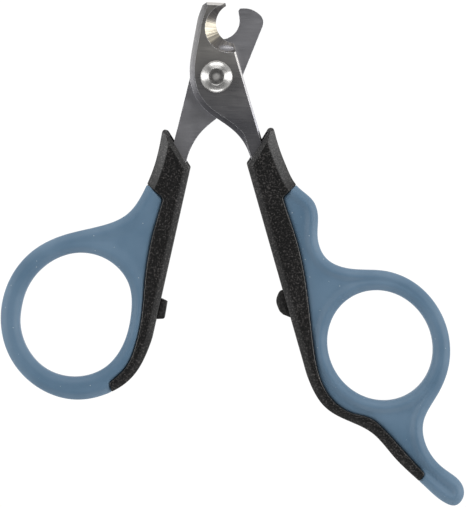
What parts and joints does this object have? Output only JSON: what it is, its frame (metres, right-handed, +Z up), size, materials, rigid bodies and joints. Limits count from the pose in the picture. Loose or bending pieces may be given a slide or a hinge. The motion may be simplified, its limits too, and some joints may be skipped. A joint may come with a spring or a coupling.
{
  "type": "scissor-action claw clipper",
  "caption": "Small-pet claw clipper: two crossed steel blades with notched jaws on a rivet, black handle bodies with soft blue-grey finger rings, one with a finger rest, and rubber stops.",
  "frame": {"origin": "bottom centre of the bounding box, with the clipper lying flat on Z = 0 at the opening shown", "axes": "+Y along the clipper from the handles to the jaws, +X towards the handle with the finger rest, +Z up out of the face that shows the rivet's head"},
  "size_m": [0.0926, 0.1006, 0.0072],
  "materials": {
    "blade_steel": "ground",
    "rivet_steel": "polished",
    "black_moulding": "spark-eroded grain",
    "soft_grip": "satin",
    "stop_rubber": "matt"
  },
  "bodies": {
    "back_half": {"back_blade": "blade_steel", "pivot_rivet": "rivet_steel", "left_handle_body": "black_moulding", "left_grip": "soft_grip", "left_stop_pad": "stop_rubber"},
    "front_half": {"front_blade": "blade_steel", "right_handle_body": "black_moulding", "right_grip": "soft_grip", "right_stop_pad": "stop_rubber"}
  },
  "joints": [
    {"name": "blade_pivot", "type": "hinge", "parent": "back_half", "child": "front_half", "pos_m": [-0.00318, 0.03536, 0], "axis": [0, 0, 1], "range_deg": [-27, 35]}
  ]
}
